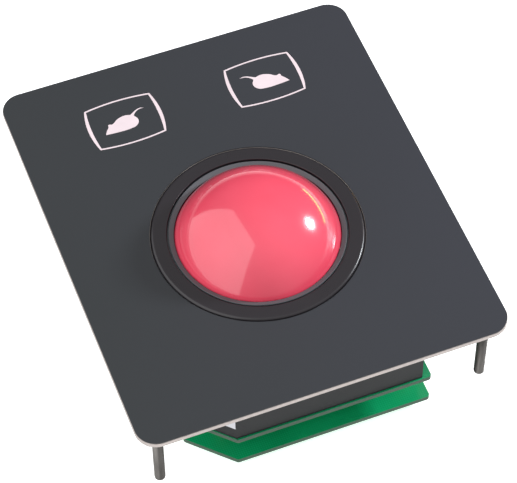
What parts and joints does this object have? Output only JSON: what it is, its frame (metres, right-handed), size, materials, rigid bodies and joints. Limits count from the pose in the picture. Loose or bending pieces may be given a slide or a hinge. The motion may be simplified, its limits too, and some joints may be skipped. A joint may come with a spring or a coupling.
{
  "type": "panel-mount trackball",
  "caption": "Flat panel-mount trackball module: dark foil-covered plate, red ball in a bayonet ring, two membrane mouse keys, housing and circuit boards behind, threaded studs at the corners.",
  "frame": {"origin": "centre of the rectangle of mounting studs, on the underside of the front plate", "axes": "+X to the user's right, +Y away from the user towards the two keys, +Z out of the panel face"},
  "size_m": [0.105, 0.124, 0.0563],
  "materials": {
    "aluminium": "brushed sheet, clean cut edge",
    "foil": "fine-textured dark polyester foil",
    "gasket_foam": "closed-cell foam",
    "steel": "zinc-plated steel",
    "dark_steel": "threaded steel stud",
    "spring_steel": "polished spring steel",
    "film": "translucent polyester film",
    "ring_plastic": "satin black-brown plastic",
    "seal_rubber": "grey elastomer",
    "ball_resin": "polished translucent red resin",
    "housing_plastic": "moulded black plastic",
    "label_paper": "blank white label",
    "shaft_steel": "ground steel",
    "roller_coat": "polyurethane coating",
    "disc_plastic": "black plastic",
    "board_green": "green solder mask on glass-epoxy",
    "chip_plastic": "epoxy moulding",
    "can_metal": "drawn metal can",
    "connector_plastic": "natural nylon",
    "pin_gold": "gold-plated pin",
    "brass": "turned brass"
  },
  "bodies": {
    "module": {"ball_cup": "housing_plastic", "bearing_caps": "housing_plastic", "board_link": "chip_plastic", "board_screws": "steel", "board_spacers": "brass", "capacitors": "can_metal", "chip_resistors": "chip_plastic", "controller_board": "board_green", "controller_chip": "chip_plastic", "crystal": "can_metal", "cup_screws": "steel", "driver_chip": "chip_plastic", "encoder_board": "board_green", "front_plate": "aluminium", "host_connector": "connector_plastic", "host_connector_pins": "pin_gold", "housing_nuts": "steel", "housing_seal": "gasket_foam", "housing_studs": "steel", "housing_washers": "steel", "idler_clip": "spring_steel", "idler_pivot_pin": "shaft_steel", "idler_spring": "spring_steel", "key_membrane": "film", "key_ribbon": "film", "key_spacer": "film", "left_dome": "spring_steel", "mounting_studs": "dark_steel", "overlay_foil": "foil", "panel_gasket": "gasket_foam", "ribbon_connector": "connector_plastic", "right_dome": "spring_steel", "serial_label": "label_paper", "shaft_bearings": "steel", "trackball_housing": "housing_plastic", "x_sensor": "chip_plastic", "y_sensor": "chip_plastic"},
    "ball": {"ball": "ball_resin"},
    "ring": {"retaining_ring": "ring_plastic", "ring_o_ring": "gasket_foam", "wiper_seal": "seal_rubber"},
    "x_axle": {"x_encoder_disc": "disc_plastic", "x_inner_races": "steel", "x_roller": "roller_coat", "x_shaft": "shaft_steel"},
    "y_axle": {"y_encoder_disc": "disc_plastic", "y_inner_races": "steel", "y_roller": "roller_coat", "y_shaft": "shaft_steel"},
    "idler_lever": {"idler_arm": "housing_plastic", "idler_pin": "shaft_steel"},
    "idler_wheel": {"idler_roller": "roller_coat"},
    "left_button": {"left_key": "foil"},
    "right_button": {"right_key": "foil"}
  },
  "joints": [
    {"name": "ball_roll", "type": "hinge", "parent": "module", "child": "ball", "pos_m": [0, -0.0082, -0.0091], "axis": [0.7071, -0.7071, 0], "continuous": true},
    {"name": "x_axle_spin", "type": "hinge", "parent": "module", "child": "x_axle", "pos_m": [0, -0.03492, -0.01778], "axis": [1, 0, 0], "continuous": true},
    {"name": "y_axle_spin", "type": "hinge", "parent": "module", "child": "y_axle", "pos_m": [-0.02672, -0.0082, -0.01778], "axis": [0, 1, 0], "continuous": true},
    {"name": "idler_swing", "type": "hinge", "parent": "module", "child": "idler_lever", "pos_m": [0.0111, 0.01987, -0.0181], "axis": [0, 0, 1], "range_deg": [0, 4], "stiffness_Nm_per_rad": 0.05, "springref_deg": -2.86, "deforming": ["idler_spring"]},
    {"name": "idler_spin", "type": "hinge", "parent": "idler_lever", "child": "idler_wheel", "pos_m": [0.01959, 0.01139, -0.0181], "axis": [0.7071, -0.7071, 0], "continuous": true},
    {"name": "ring_twist", "type": "hinge", "parent": "module", "child": "ring", "pos_m": [0, -0.0082, 0], "axis": [0, 0, 1], "range_deg": [0, 45]},
    {"name": "left_press", "type": "slide", "parent": "module", "child": "left_button", "axis": [0, 0, -1], "range_m": [0, 0.0004], "stiffness_N_per_m": 1500, "deforming": ["left_dome"]},
    {"name": "right_press", "type": "slide", "parent": "module", "child": "right_button", "axis": [0, 0, -1], "range_m": [0, 0.0004], "stiffness_N_per_m": 1500, "deforming": ["right_dome"]}
  ],
  "couplings": [
    {"joint": "x_axle_spin", "follows": "ball_roll", "ratio": -5.8926},
    {"joint": "y_axle_spin", "follows": "ball_roll", "ratio": 5.8926},
    {"joint": "idler_spin", "follows": "ball_roll", "ratio": -6.25}
  ]
}
